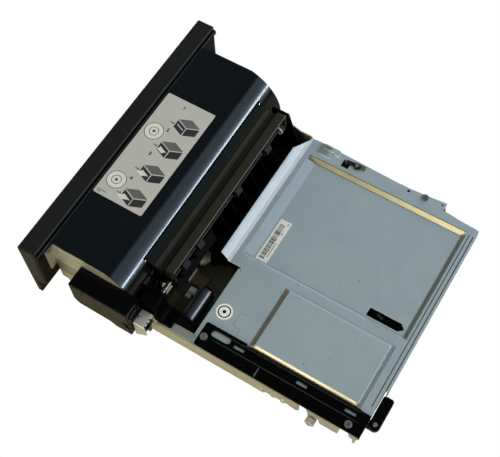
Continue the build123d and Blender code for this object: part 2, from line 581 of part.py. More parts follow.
with BuildPart() as exit_pulley:
    bar((BELT_X[0] - 0.3, BELT_X[1] + 0.3), EXIT_AXIS, PULLEY)
    bar((BELT_X[1] + 0.3, BELT_X[1] + 1.3), EXIT_AXIS, PULLEY + BELT_THICK)
    bar((-100, -90), EXIT_AXIS, EXIT_SHAFT, Mode.SUBTRACT)

belt_run = Vector(EXIT_AXIS) - Vector(FEED_AXIS)
belt_angle = degrees(atan2(belt_run.Y, belt_run.X))
belt_middle = (Vector(EXIT_AXIS) + Vector(FEED_AXIS)) / 2
belt_inner = 2 * (PULLEY + GAP)
with BuildPart() as drive_belt:
    with BuildSketch(Plane.YZ.offset(BELT_X[0])):
        with Locations((back(belt_middle.X), belt_middle.Y)):
            SlotCenterToCenter(belt_run.length, belt_inner + 2 * BELT_THICK, rotation=belt_angle)
            SlotCenterToCenter(belt_run.length, belt_inner, rotation=belt_angle, mode=Mode.SUBTRACT)
    extrude(amount=BELT_X[1] - BELT_X[0])

with BuildPart() as pinch_shaft:
    bar((FAR_FRAME_X[0] - 1, NEAR_FRAME_X[1] + 1), PINCH_AXIS, PINCH_SHAFT)

with BuildPart() as pinch_rollers:
    for x in TYRE_PLACES:
        bar((x - 5, x + 5), PINCH_AXIS, PINCH_ROLLER)
    bar((-120, 130), PINCH_AXIS, PINCH_SHAFT, Mode.SUBTRACT)

with BuildPart() as pinch_springs:
    spring = [(40, 61.9), (40, 62.4), (46, 62.4), (58, 67.1), (72, 67.1), (72, 66.6), (58, 66.6), (46, 61.9)]
    for x in (-41, 13):
        profile((x - 4, x + 4), spring)

with BuildPart() as shaft_bushes:
    for xs in (NEAR_FRAME_X, FAR_FRAME_X):
        bar(xs, FEED_AXIS, 5)
        bar(xs, EXIT_AXIS, 3.6)
    bar((-120, 130), FEED_AXIS, FEED_SHAFT + RUN, Mode.SUBTRACT)
    bar((-120, 130), EXIT_AXIS, EXIT_SHAFT + RUN, Mode.SUBTRACT)

RACK_DEPTH = CENTRING_AXIS[1] - CENTRING_TEETH * GEAR_MODULE / 2
RACK_PITCH = pi * GEAR_MODULE
with BuildPart() as centring_pinion:
    with BuildSketch(Plane((CENTRING_AXIS[0], back(CENTRING_AXIS[1]), 15))):
        gear_outline(CENTRING_TEETH, start=90)
        Circle(2 + RUN, mode=Mode.SUBTRACT)
    extrude(amount=5)

with BuildPart() as centring_rack:
    block((43.6, 96), (112.6, RACK_DEPTH - 1.2 * GEAR_MODULE), (15, 20))
    with BuildSketch(Plane.XY.offset(15)):
        for i in range(-1, 6):
            x = CENTRING_AXIS[0] + (i + 0.5) * RACK_PITCH
            root = back(RACK_DEPTH - 1.2 * GEAR_MODULE - 0.2)
            tip = back(RACK_DEPTH + 0.75 * GEAR_MODULE)
            Polygon((x - 0.6, root), (x + 0.6, root), (x + 0.22, tip), (x - 0.22, tip), align=None)
    extrude(amount=5)
    block((84, 96), (112.6, 113.8), (15, 40))

# ---------------------------------------------------------------- sensing and control
with BuildPart() as image_sensor_bar:
    block((-95, 89), (32, 46), (42, 54))
    block((-93, 87), (35, 43), (49, 55), Mode.SUBTRACT)

with BuildPart() as sensor_glass:
    block((-93, 87), (35, 43), (52.6, 55.2))

with BuildPart() as control_board:
    block((-80, 60), (34, 98), (12, 13.6))
    for x, depth in ((-72, 40), (52, 40), (-72, 92), (52, 92)):
        post((x, depth), (PAN_TOP, 12), 3)
    for xs, depths in (((-60, -40), (50, 70)), ((-20, -6), (44, 58))):
        block(xs, depths, (13.6, 15.6))
    block((10, 34), (60, 68), (13.6, 22.6))
    block((-30, 6), (80, 90), (13.6, 19.6))

with BuildPart() as dock_connector:
    block((-70, -30), (318, 331.8), (PAN_TOP, 19))
    block((-66, -34), (326, 331.8), (11, 17), Mode.SUBTRACT)
    block((-62, -38), (322, 330), (13.2, 14.8))

with BuildPart() as tray_sensor:
    block((12, 27), (287, 330), (PAN_TOP, 27.2))
    block((16, 22), (289, 328), (14, 28), Mode.SUBTRACT)
    bar((12, 27), FLAG_PIVOT, 1.5, Mode.SUBTRACT)

with BuildPart() as sensor_flag:
    bar((12.5, 26.5), FLAG_PIVOT, 1.5 - RUN)
    bar((16.5, 21.5), FLAG_PIVOT, 3.0)
    flag = [(321, 22.4), (300, 24), (293, 24), (293, 27.5), (299, 30.4), (305, 27), (321, 26)]
    profile((17.5, 20.5), flag)

# ---------------------------------------------------------------- latches and wheels
with BuildPart() as latch_lever:
    with BuildSketch(Plane.XY.offset(21.3)):
        with Locations((98.85, back(345.4))):
            SlotOverall(33.7, 10.4)
        with Locations((88, back(345.4))):
            RectangleRounded(12, 10.4, 2.5)
    extrude(amount=5)
    fillet(latch_lever.faces().sort_by(Axis.Z)[-1].edges(), 0.8)
    post(LEVER_PIN, (20, 30), 1.5 + RUN, Mode.SUBTRACT)

with BuildPart() as pivot_pins:
    post(LEVER_PIN, (17.5, 26.6), 1.5)
    post(LEVER_PIN, (26.6, 27.4), 2.0)
    post(SIDE_LATCH_PIVOT, (TRAY_TOP - 1, TRAY_TOP + 2), 1.5)
    post(SIDE_LATCH_PIVOT, (TRAY_TOP + 2, TRAY_TOP + 2.8), 1.9)

with BuildPart() as side_latch:
    arm = [(-111, 195.6), (-107.4, 195.6), (-107.8, 205), (-107.4, 210), (-109.6, 217), (-113, 216)]
    outline((TRAY_TOP + 0.3, TRAY_TOP + 1.7), arm)
    post(SIDE_LATCH_PIVOT, (TRAY_TOP + 0.3, TRAY_TOP + 1.7), 3.5)
    block((-110.4, -107.8), (195.6, 197.6), (TRAY_TOP - 5, TRAY_TOP + 1))
    post(SIDE_LATCH_PIVOT, (TRAY_TOP, TRAY_TOP + 3), 1.5 + RUN, Mode.SUBTRACT)

WHEEL_XS = {"near": (PLATE_X + 0.8, 136), "far": (-124.5, FAR_PLATE_X - 0.5)}
with BuildPart() as guide_studs:
    bar((PLATE_X - STEEL, 137), GUIDE_WHEEL_AXIS, 1.5)
    bar((-125.5, FAR_PLATE_X + STEEL), GUIDE_WHEEL_AXIS, 1.5)
    post(CENTRING_AXIS, (PAN_TOP, 14.6), 4)
    post(CENTRING_AXIS, (14.6, 22), 2)

with BuildPart() as guide_wheel_near:
    bar(WHEEL_XS["near"], GUIDE_WHEEL_AXIS, 4.5)
    fillet(guide_wheel_near.edges().filter_by(GeomType.CIRCLE), 0.8)
    bar((120, 140), GUIDE_WHEEL_AXIS, 1.5 + RUN, Mode.SUBTRACT)

with BuildPart() as guide_wheel_far:
    bar(WHEEL_XS["far"], GUIDE_WHEEL_AXIS, 4.5)
    fillet(guide_wheel_far.edges().filter_by(GeomType.CIRCLE), 0.8)
    bar((-130, -115), GUIDE_WHEEL_AXIS, 1.5 + RUN, Mode.SUBTRACT)

PIECES = {name: piece for name, piece in globals().items() if isinstance(piece, BuildPart)}
os.makedirs("parts", exist_ok=True)
for name, piece in PIECES.items():
    piece.part.label = name
    export_step(piece.part, f"parts/{name}.step")
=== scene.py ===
"""Looks of a page-wide slide-in note transport unit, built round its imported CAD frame."""
import json
import math
import random

import bpy
from mathutils import Euler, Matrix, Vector

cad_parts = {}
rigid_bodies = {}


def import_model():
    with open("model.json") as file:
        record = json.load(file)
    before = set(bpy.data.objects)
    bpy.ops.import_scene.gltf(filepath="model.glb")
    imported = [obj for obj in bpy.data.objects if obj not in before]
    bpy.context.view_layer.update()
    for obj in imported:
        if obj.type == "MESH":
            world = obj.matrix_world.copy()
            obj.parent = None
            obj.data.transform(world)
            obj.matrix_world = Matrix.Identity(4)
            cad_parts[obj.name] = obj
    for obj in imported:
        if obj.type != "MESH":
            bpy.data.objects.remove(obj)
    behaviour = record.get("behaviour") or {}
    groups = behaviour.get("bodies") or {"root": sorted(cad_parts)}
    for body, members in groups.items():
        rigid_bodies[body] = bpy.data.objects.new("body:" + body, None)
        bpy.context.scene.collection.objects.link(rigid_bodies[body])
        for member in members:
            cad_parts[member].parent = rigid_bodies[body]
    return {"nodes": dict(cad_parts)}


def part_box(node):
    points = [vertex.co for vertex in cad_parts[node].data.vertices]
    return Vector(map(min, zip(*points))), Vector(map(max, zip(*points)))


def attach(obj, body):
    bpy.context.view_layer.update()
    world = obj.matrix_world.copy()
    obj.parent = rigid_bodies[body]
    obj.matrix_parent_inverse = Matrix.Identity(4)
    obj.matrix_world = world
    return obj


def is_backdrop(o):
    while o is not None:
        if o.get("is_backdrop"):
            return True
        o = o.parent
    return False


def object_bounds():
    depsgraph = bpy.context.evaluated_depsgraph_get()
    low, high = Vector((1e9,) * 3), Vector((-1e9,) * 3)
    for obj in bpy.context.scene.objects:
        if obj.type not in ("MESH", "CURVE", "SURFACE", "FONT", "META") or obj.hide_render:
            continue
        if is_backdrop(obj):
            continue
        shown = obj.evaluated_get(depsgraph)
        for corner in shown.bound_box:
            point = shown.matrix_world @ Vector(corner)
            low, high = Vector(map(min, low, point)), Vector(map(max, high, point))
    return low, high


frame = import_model()
NODES = frame["nodes"]
CAD_LOW, CAD_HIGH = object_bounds()
MM = 0.001
FRONT = CAD_LOW.y


def at(x, depth, z):
    """A point of the row frame from millimetres: x, depth behind the fascia's front, height."""
    return Vector((x * MM, FRONT + depth * MM, z * MM))


# ---------------------------------------------------------------- finishes
class Finish:
    """One procedural material and the calls that build its nodes."""

    def __init__(self, name, colour, rough, metal=0.0, **sockets):
        self.material = bpy.data.materials.new(name)
        self.material.use_nodes = True
        self.tree = self.material.node_tree
        self.shader = self.tree.nodes["Principled BSDF"]
        self.place = self.node("ShaderNodeTexCoord").outputs["Object"]
        self.set(self.shader.inputs["Base Color"], colour)
        self.set(self.shader.inputs["Roughness"], rough)
        self.shader.inputs["Metallic"].default_value = metal
        for socket, value in sockets.items():
            self.shader.inputs[socket.replace("_", " ")].default_value = value
        self.normal = None

    @property
    def colour(self):
        """What feeds the base colour so far."""
        return self.shader.inputs["Base Color"].links[0].from_socket

    def paint(self, share, colour):
        """Another colour over the base, where the share says."""
        self.set(self.shader.inputs["Base Color"], self.mix(share, self.colour, colour))

    def set(self, socket, value):
        if isinstance(value, bpy.types.NodeSocket):
            self.tree.links.new(value, socket)
        elif isinstance(value, tuple) and len(value) == 3 and socket.type == "RGBA":
            socket.default_value = (*value, 1.0)
        else:
            socket.default_value = value

    def node(self, kind, inputs=None, **settings):
        made = self.tree.nodes.new(kind)
        for key, value in settings.items():
            setattr(made, key, value)
        for key, value in (inputs or {}).items():
            self.set(made.inputs[key], value)
        return made

    def stretched(self, scale):
        return self.node("ShaderNodeMapping", {"Vector": self.place, "Scale": scale}).outputs[0]

    def noise(self, scale, detail=3.0, stretch=None, rough=0.55, distortion=0.0):
        where = self.stretched(stretch) if stretch else self.place
        made = self.node(
            "ShaderNodeTexNoise",
            {"Vector": where, "Scale": scale, "Detail": detail, "Roughness": rough, "Distortion": distortion},
        )
        return made.outputs["Fac"]

    def cells(self, scale, feature="F1", output="Distance"):
        made = self.node("ShaderNodeTexVoronoi", {"Vector": self.place, "Scale": scale}, feature=feature)
        return made.outputs[output]

    def band(self, value, low, high, to_low=0.0, to_high=1.0):
        return self.node(
            "ShaderNodeMapRange",
            {"Value": value, "From Min": low, "From Max": high, "To Min": to_low, "To Max": to_high},
        ).outputs[0]

    def maths(self, operation, a, b=0.0):
        return self.node("ShaderNodeMath", {0: a, 1: b}, operation=operation).outputs[0]

    def mix(self, share, a, b, blend="MIX"):
        made = self.node("ShaderNodeMix", data_type="RGBA", blend_type=blend)
        self.set(made.inputs["Factor"], share)
        self.set(made.inputs["A"], a)
        self.set(made.inputs["B"], b)
        return made.outputs["Result"]

    def span(self, along, low, high, soft=0.25):
        """1 between two places in millimetres along x, depth or z, fading over the soft distance."""
        parts = self.node("ShaderNodeSeparateXYZ", {0: self.place})
        part = parts.outputs[("x", "depth", "z").index(along)]
        start = FRONT if along == "depth" else 0.0
        low, high, soft = start + low * MM, start + high * MM, soft * MM
        rise = self.band(part, low - soft, low + soft)
        return self.maths("MULTIPLY", rise, self.band(part, high - soft, high + soft, 1.0, 0.0))

    def patch(self, *spans):
        """1 where every one of these spans holds."""
        share = self.span(*spans[0])
        for limits in spans[1:]:
            share = self.maths("MULTIPLY", share, self.span(*limits))
        return share

    def soften(self, radius):
        """Moulded or rolled edges: the shading turns over this radius."""
        self.normal = self.node("ShaderNodeBevel", {"Radius": radius}, samples=4).outputs[0]

    def bump(self, height, distance, strength=1.0):
        made = self.node(
            "ShaderNodeBump", {"Height": height, "Distance": distance, "Strength": strength}
        )
        if self.normal is not None:
            self.set(made.inputs["Normal"], self.normal)
        self.normal = made.outputs[0]

    def done(self):
        if self.normal is not None:
            self.set(self.shader.inputs["Normal"], self.normal)
        return self.material


def fascia_finish():
    f = Finish("fascia_plastic", (0.0065, 0.009, 0.011), 0.5, Specular_IOR_Level=0.25)
    patches = f.noise(26.0, 3.0)
    f.set(f.shader.inputs["Base Color"], f.mix(patches, (0.0085, 0.0100, 0.0098), (0.0125, 0.0140, 0.0132)))
    f.set(f.shader.inputs["Roughness"], f.band(f.noise(90.0, 4.0), 0.3, 0.7, 0.40, 0.56))
    f.soften(0.0007)
    f.bump(f.cells(2400.0), 0.00003, 0.35)
    return f.done()


def cover_finish():
    f = Finish("cover_plastic", (0.004, 0.004, 0.004), 0.14, Specular_IOR_Level=0.42)
    f.shader.inputs["Specular Tint"].default_value = (0.72, 0.86, 1.0, 1.0)
    dust = f.band(f.noise(900.0, 2.0, rough=0.7), 0.66, 0.78)
    veil = f.band(f.noise(35.0, 4.0), 0.45, 0.75, 0.0, 0.35)
    base = f.mix(f.maths("MULTIPLY", veil, 0.10), (0.0020, 0.0015, 0.0008), (0.02, 0.018, 0.014))
    f.set(f.shader.inputs["Base Color"], f.mix(f.maths("MULTIPLY", dust, 0.12), base, (0.25, 0.25, 0.25)))
    smears = f.band(f.noise(60.0, 5.0, stretch=(0.5, 1.4, 1.4)), 0.3, 0.75, 0.11, 0.17)
    f.set(f.shader.inputs["Roughness"], smears)
    f.bump(f.noise(1500.0, 2.0), 0.000005, 0.05)
    return f.done()


def black_finish(name="black_plastic", tint=(0.0015, 0.0015, 0.0018), rough=0.38, gloss=0.13):
    f = Finish(name, tint, rough, Specular_IOR_Level=gloss)
    lighter = tuple(c * 1.7 for c in tint)
    f.set(f.shader.inputs["Base Color"], f.mix(f.band(f.noise(45.0, 4.0), 0.35, 0.75), tint, lighter))
    f.set(f.shader.inputs["Roughness"], f.band(f.noise(150.0, 3.0), 0.3, 0.7, rough - 0.08, rough + 0.1))
    f.soften(0.0004)
    f.bump(f.noise(1500.0, 2.0), 0.00003, 0.3)
    return f


def rail_finish():
    """The rail: gloss black with painted highlight lines along its step and inner edge."""
    f = black_finish("rail_black", (0.0010, 0.0010, 0.0012), 0.30, 0.06)
    # painted highlight lines along the step and the inner edge, from depth 186 to 330
    edge_highlight_lines = f.maths("MAXIMUM", f.span("x", 118.15, 118.6, 0.15), f.span("x", 108.9, 109.3, 0.15))
    f.paint(f.maths("MULTIPLY", edge_highlight_lines, f.span("depth", 186.0, 330.0, 4.0)), (0.07, 0.068, 0.062))
    return f.done()


def flap_finish():
    """The jam flap: satin black streaked along its length, with painted reflections, greenish by the hinge
    and browner behind, and a painted highlight along its rear edge.
    """
    f = Finish("flap_plastic", (0.008, 0.008, 0.008), 0.4, Specular_IOR_Level=0.36)
    f.shader.inputs["Specular Tint"].default_value = (1.0, 0.86, 0.68, 1.0)
    streaks = f.noise(55.0, 4.0, stretch=(0.05, 1.0, 1.0))
    tone = f.mix(f.band(streaks, 0.35, 0.7), (0.005, 0.0055, 0.005), (0.013, 0.012, 0.009))
    specks = f.band(f.noise(700.0, 2.0, rough=0.8), 0.70, 0.80)
    f.set(f.shader.inputs["Base Color"], f.mix(f.maths("MULTIPLY", specks, 0.10), tone, (0.3, 0.29, 0.26)))
    # painted reflection: greenish blue by the hinge
    f.paint(f.span("depth", 90.0, 108.0, 3.0), (0.0035, 0.0085, 0.0105))
    # painted reflection: a streaked brown band behind
    f.paint(f.span("depth", 122.5, 130.6, 0.5), f.mix(streaks, (0.020, 0.018, 0.014), (0.034, 0.031, 0.025)))
    # painted highlight along the rear edge
    f.paint(f.patch(("depth", 130.9, 132.0), ("z", 74.6, 77.0)), (0.16, 0.16, 0.145))
    f.set(f.shader.inputs["Roughness"], f.band(streaks, 0.3, 0.7, 0.30, 0.46))
    f.soften(0.0004)
    f.bump(f.noise(900.0, 2.0, stretch=(0.2, 1.0, 1.0)), 0.00004, 0.3)
    return f.done()


def sheet_finish(name, colour, warm, rough=0.46, spangle=0.06):
    """Zinc-plated sheet: faint spangle, drawn grain, handling marks and dark specks."""
    f = Finish(name, colour, rough, metal=0.72)
    flakes = f.cells(420.0, output="Color")
    grain = f.noise(900.0, 3.0, stretch=(0.10, 1.0, 1.0))
    cloud = f.noise(9.0, 3.0)
    tone = f.mix(f.band(cloud, 0.35, 0.65), colour, warm)
    tone = f.mix(spangle, tone, flakes, blend="SOFT_LIGHT")
    tone = f.mix(f.band(grain, 0.3, 0.7, 0.0, 0.07), tone, tuple(c * 0.6 for c in colour))
    specks = f.band(f.noise(420.0, 1.0, rough=0.4), 0.80, 0.83)
    f.set(f.shader.inputs["Base Color"], f.mix(specks, tone, (0.03, 0.03, 0.03)))
    f.set(f.shader.inputs["Roughness"], f.band(f.noise(60.0, 4.0), 0.3, 0.7, rough - 0.03, rough + 0.04))
    f.soften(0.0006)
    f.bump(grain, 0.00001, 0.25)
    f.bump(f.noise(11.0, 1.0), 0.0002, 0.10)
    return f


def rectangle_edges(f, xs, depths, wide, soft=0.2):
    """The four thin lines of a rectangle."""
    total = 0.0
    across = (("x", xs[0] - wide, xs[1] + wide, soft), ("depth", depths[0] - wide, depths[1] + wide, soft))
    for x in xs:
        total = f.maths("MAXIMUM", total, f.patch(("x", x - wide, x + wide, soft), across[1]))
    for depth in depths:
        total = f.maths("MAXIMUM", total, f.patch(("depth", depth - wide, depth + wide, soft), across[0]))
    return total


def tray_cover_finish():
    """The tray cover: zinc sheet with painted light and shade: painted shade in its bends and grooves and on
    some slopes, painted highlights and reflections on its edges, slopes and flare.
    """
    f = sheet_finish("cover_steel", (0.72, 0.83, 0.92), (0.77, 0.875, 0.945))
    # the large panel's far slope: painted shade at the front, turning to a painted warm reflection towards
    # the rear
    far = ("x", -98.4, -93.6, 0.3)
    along = ("depth", 161.0, 332.0, 0.5)
    fade = f.span("depth", 270.0, 400.0, 60.0)
    f.paint(f.patch(far, along), f.mix(fade, (0.36, 0.36, 0.28), (0.92, 0.88, 0.70)))
    # painted shade: the large panel's near slope and the small panel's far slope darker than the sheet
    f.paint(f.patch(("x", 26.8, 30.3, 0.3), along), (0.60, 0.66, 0.69))
    f.paint(f.patch(("x", 38.6, 41.8, 0.3), ("depth", 214.0, 328.0, 0.5)), (0.58, 0.64, 0.68))
    # the small panel's near slope: a painted warm reflection, brighter towards the rear, with a painted shade
    # line beside it
    near = f.patch(("x", 103.2, 105.4, 0.3), ("depth", 216.0, 327.0, 1.0))
    f.paint(near, f.mix(f.span("depth", 222.0, 300.0, 12.0), (0.75, 0.70, 0.52), (1.0, 0.93, 0.70)))
    f.paint(f.patch(("x", 105.6, 107.5, 0.2), ("depth", 214.0, 330.0, 0.5)), (0.16, 0.16, 0.15))
    # painted shade: the small panel's rear and front slopes darker than the sheet
    f.paint(f.patch(("depth", 324.8, 328.2, 0.3), ("x", 40.0, 105.0, 1.0)), (0.24, 0.275, 0.31))
    f.paint(f.patch(("depth", 214.0, 219.6, 0.5), ("x", 40.0, 105.0, 1.0)), (0.40, 0.40, 0.37))
    # painted shade: dark lines along the large panel's bends
    dark = f.patch(("x", 26.0, 26.5), along)
    for low, high in ((-98.9, -98.2), (-94.0, -93.4)):
        dark = f.maths("MAXIMUM", dark, f.patch(("x", low, high), along))
    f.paint(f.maths("MULTIPLY", dark, 0.8), (0.10, 0.10, 0.095))
    # painted shade on the large panel's rear slope
    f.paint(f.patch(("depth", 329.0, 333.0, 0.4), ("x", -95.0, 28.0, 1.0)), (0.36, 0.38, 0.37))
    # painted shade in the two grooves at the rear
    groove_shade = f.maths("MAXIMUM", f.span("depth", 339.3, 340.2, 0.15), f.span("depth", 335.3, 336.1, 0.15))
    f.paint(f.maths("MULTIPLY", groove_shade, f.patch(("x", -97.0, 99.0), ("z", 30.9, 32.2))), (0.03, 0.03, 0.03))
    # painted highlights along the small panel's edges
    bright = rectangle_edges(f, (42.1, 103.2), (219.7, 324.3), 0.35)
    f.paint(f.maths("MULTIPLY", bright, 0.5), (1.0, 1.0, 1.0))
    # painted shade: dark lines along the scored outline
    score_shade = f.patch(("x", 82.0, 96.4), ("depth", 191.1, 191.6))
    for spans in (
        (("x", 96.2, 96.6), ("depth", 191.2, 199.2)),
        (("x", 96.4, 102.6), ("depth", 199.1, 199.5)),
        (("x", 81.0, 81.4), ("depth", 193.0, 199.0)),
    ):
        score_shade = f.maths("MAXIMUM", score_shade, f.patch(*spans))
    f.paint(f.maths("MULTIPLY", score_shade, 0.5), (0.16, 0.16, 0.15))
    # the flare: painted shade at its front edge and a painted highlight towards the fold, then a painted
    # highlight line along the ridge
    flare_light = f.patch(("depth", 138.0, 155.2, 0.4), ("z", 31.85, 40.0))
    f.paint(flare_light, f.mix(f.span("depth", 138.0, 147.0, 3.0), (0.95, 0.98, 1.0), (0.56, 0.63, 0.68)))
    f.paint(f.maths("MULTIPLY", f.patch(("depth", 154.2, 155.6), ("z", 31.0, 33.0)), 0.7), (1.0, 1.0, 1.0))
    # painted shade on the front end of the dome pad
    dome_shade = f.patch(("x", -118.0, -105.0), ("depth", 163.0, 176.0, 3.0), ("z", 31.9, 34.0))
    f.paint(f.maths("MULTIPLY", dome_shade, 0.6), (0.30, 0.28, 0.22))
    return f.done()


def plate_finish():
    """The side plates: duller zinc sheet, their turned-in top edges painted greyer than their faces as
    painted shade.
    """
    f = sheet_finish("plate_steel", (0.66, 0.66, 0.60), (0.74, 0.73, 0.65), 0.45, 0.22)
    # painted shade on the near plate between x 110 and 134 and below 50 mm
    f.paint(f.maths("MULTIPLY", f.patch(("x", 110.0, 134.3), ("z", 28.0, 50.0)), 0.7), (0.32, 0.34, 0.33))
    return f.done()


def bracket_finish():
    """The side bracket: plated sheet with a plain pressed bar painted black."""
    f = sheet_finish("bracket_steel", (0.74, 0.78, 0.74), (0.80, 0.82, 0.76), 0.45, 0.12)
    # the pressed bar painted near black
    bar = f.patch(("x", 135.6, 139.6, 0.1), ("depth", 116.8, 117.9, 0.1), ("z", 46.2, 47.4))
    f.paint(bar, (0.004, 0.004, 0.004))
    return f.done()


def backplate_finish():
    """The strip behind the fascia, with a painted highlight along its rear edge by the cover."""
    f = black_finish("backplate_black", (0.0015, 0.0015, 0.0018), 0.38, 0.07)
    # painted highlight along the rear edge
    f.paint(f.patch(("depth", 21.4, 21.9, 0.1), ("z", 84.9, 86.0)), (0.10, 0.105, 0.11))
    return f.done()


def shaft_finish(name="bright_steel"):
    f = Finish(name, (0.62, 0.63, 0.65), 0.2, metal=1.0)
    rings = f.noise(2200.0, 2.0, stretch=(1.0, 0.05, 0.05))
    tone = f.mix(f.band(rings, 0.3, 0.7), (0.45, 0.46, 0.48), (0.72, 0.73, 0.74))
    f.set(f.shader.inputs["Base Color"], tone)
    f.set(f.shader.inputs["Roughness"], f.band(rings, 0.3, 0.7, 0.14, 0.28))
    f.soften(0.0003)
    return f


def sleeve_and_shade_finish(name, *spans):
    """Bright steel inside these spans and black elsewhere: a black sleeve on the exit shaft, painted shade on
    the plunger.
    """
    f = shaft_finish(name)
    f.paint(0.85, (0.02, 0.02, 0.022))
    covered = f.band(f.patch(*spans), 0.0, 1.0, 1.0, 0.0)
    f.paint(covered, (0.002, 0.002, 0.0022))
    f.set(f.shader.inputs["Metallic"], f.band(covered, 0.0, 1.0, 1.0, 0.0))
    f.shader.inputs["Specular IOR Level"].default_value = 0.1
    return f.done()


def latch_finish():
    """Blackened spring steel, rubbed back to brown at the tail."""
    f = Finish("latch_steel", (0.004, 0.004, 0.004), 0.35, Specular_IOR_Level=0.3)
    stain = f.noise(900.0, 3.0)
    tail = f.mix(stain, (0.05, 0.045, 0.03), (0.16, 0.14, 0.10))
    tone = f.mix(f.band(stain, 0.3, 0.8), (0.003, 0.003, 0.003), (0.012, 0.011, 0.009))
    f.set(f.shader.inputs["Base Color"], tone)
    f.paint(f.span("depth", 212.0, 230.0, 0.6), tail)
    f.paint(f.span("depth", 190.0, 197.2, 0.5), tail)
    f.set(f.shader.inputs["Roughness"], f.band(stain, 0.3, 0.7, 0.3, 0.5))
    f.soften(0.0003)
    return f.done()


def rubber_finish(name="ground_rubber", tone=(0.02, 0.02, 0.022)):
    f = Finish(name, tone, 0.75, Specular_IOR_Level=0.3)
    grit = f.noise(1800.0, 3.0)
    f.set(f.shader.inputs["Base Color"], f.mix(f.band(grit, 0.35, 0.7), tone, tuple(c * 2.4 for c in tone)))
    f.set(f.shader.inputs["Roughness"], f.band(grit, 0.3, 0.7, 0.65, 0.9))
    f.soften(0.0003)
    f.bump(grit, 0.00006, 0.5)
    return f.done()


def roller_finish():
    """The polished guide roller, with fine turning marks round it."""
    f = Finish("roller_black", (0.012, 0.013, 0.018), 0.30, Specular_IOR_Level=0.90)
    f.shader.inputs["Specular Tint"].default_value = (0.82, 0.90, 1.0, 1.0)
    turned = f.noise(900.0, 2.0, stretch=(1.0, 0.05, 0.05))
    f.set(f.shader.inputs["Base Color"], f.mix(turned, (0.008, 0.009, 0.014), (0.02, 0.022, 0.032)))
    f.set(f.shader.inputs["Roughness"], f.band(turned, 0.3, 0.7, 0.29, 0.33))
    f.soften(0.0004)
    return f.done()


def moulded_finish(name, low, high, rough=0.45):
    """Unpainted engineering plastic: cloudy colour, dull wear where it meshes or rubs."""
    f = Finish(name, low, rough, Subsurface_Weight=0.05, Subsurface_Scale=0.002)
    cloud = f.noise(130.0, 4.0)
    tone = f.mix(f.band(cloud, 0.3, 0.7), low, high)
    grime = f.band(f.noise(420.0, 3.0), 0.5, 0.75, 0.0, 0.3)
    f.set(f.shader.inputs["Base Color"], f.mix(grime, tone, tuple(c * 0.45 for c in low)))
    f.set(f.shader.inputs["Roughness"], f.band(cloud, 0.3, 0.7, rough - 0.07, rough + 0.1))
    f.soften(0.0003)
    f.bump(f.noise(1400.0, 2.0), 0.00003, 0.3)
    return f.done()


def felt_finish():
    f = Finish("brown_felt", (0.04, 0.025, 0.01), 0.95, Sheen_Weight=0.1, Sheen_Roughness=0.5)
    fibres = f.noise(1600.0, 5.0, stretch=(1.0, 0.3, 1.0), distortion=1.5)
    tone = f.mix(f.band(fibres, 0.3, 0.7), (0.07, 0.042, 0.018), (0.15, 0.092, 0.042))
    f.set(f.shader.inputs["Base Color"], tone)
    f.bump(fibres, 0.0003, 0.8)
    return f.done()


def board_finish():
    f = Finish("solder_mask", (0.01, 0.06, 0.025), 0.3)
    tracks = f.band(f.cells(260.0, feature="DISTANCE_TO_EDGE"), 0.02, 0.05)
    f.set(f.shader.inputs["Base Color"], f.mix(tracks, (0.02, 0.13, 0.05), (0.008, 0.06, 0.02)))
    f.set(f.shader.inputs["Roughness"], f.band(f.noise(300.0, 2.0), 0.3, 0.7, 0.22, 0.4))
    f.bump(tracks, 0.00003, 0.4)
    return f.done()


def glass_finish():
    f = Finish("clear_strip", (0.35, 0.42, 0.42), 0.08, Transmission_Weight=0.0, Coat_Weight=0.6)
    smear = f.noise(160.0, 3.0, stretch=(0.2, 1.0, 1.0))
    tone = f.mix(f.band(smear, 0.3, 0.7), (0.02, 0.025, 0.028), (0.07, 0.08, 0.085))
    f.set(f.shader.inputs["Base Color"], tone)
    f.set(f.shader.inputs["Roughness"], f.band(smear, 0.3, 0.7, 0.04, 0.16))
    return f.done()


def can_finish():
    f = Finish("motor_can", (0.06, 0.06, 0.065), 0.35, metal=0.7)
    drawn = f.noise(500.0, 3.0, stretch=(0.1, 1.0, 1.0))
    tone = f.mix(f.band(drawn, 0.3, 0.7), (0.04, 0.04, 0.045), (0.1, 0.1, 0.105))
    f.set(f.shader.inputs["Base Color"], tone)
    f.set(f.shader.inputs["Roughness"], f.band(drawn, 0.3, 0.7, 0.28, 0.42))
    f.soften(0.0004)
    return f.done()


def film_finish(name, low, high, rough=0.5, metal=0.0):
    """Printed label film: fine silver or paper tooth and a few handling marks."""
    f = Finish(name, low, rough, metal=metal, Specular_IOR_Level=0.4)
    tooth = f.noise(2600.0, 2.0)
    marks = f.band(f.noise(70.0, 5.0), 0.55, 0.8, 0.0, 0.25)
    tone = f.mix(f.band(tooth, 0.3, 0.7), low, high)
    f.set(f.shader.inputs["Base Color"], f.mix(marks, tone, tuple(c * 0.8 for c in low)))
    f.set(f.shader.inputs["Roughness"], f.band(tooth, 0.3, 0.7, rough - 0.06, rough + 0.08))
    f.bump(tooth, 0.00002, 0.2)
    return f.done()


def ink_finish(name, colour, rough=0.55):
    """Screen-printed ink, slightly uneven in cover."""
    f = Finish(name, colour, rough, Specular_IOR_Level=0.3)
    cover = f.noise(1500.0, 3.0)
    lighter = tuple(min(1.0, c * 1.3 + 0.004) for c in colour)
    f.set(f.shader.inputs["Base Color"], f.mix(f.band(cover, 0.35, 0.7), colour, lighter))
    f.set(f.shader.inputs["Roughness"], f.band(cover, 0.3, 0.7, rough - 0.05, rough + 0.08))
    return f.done()


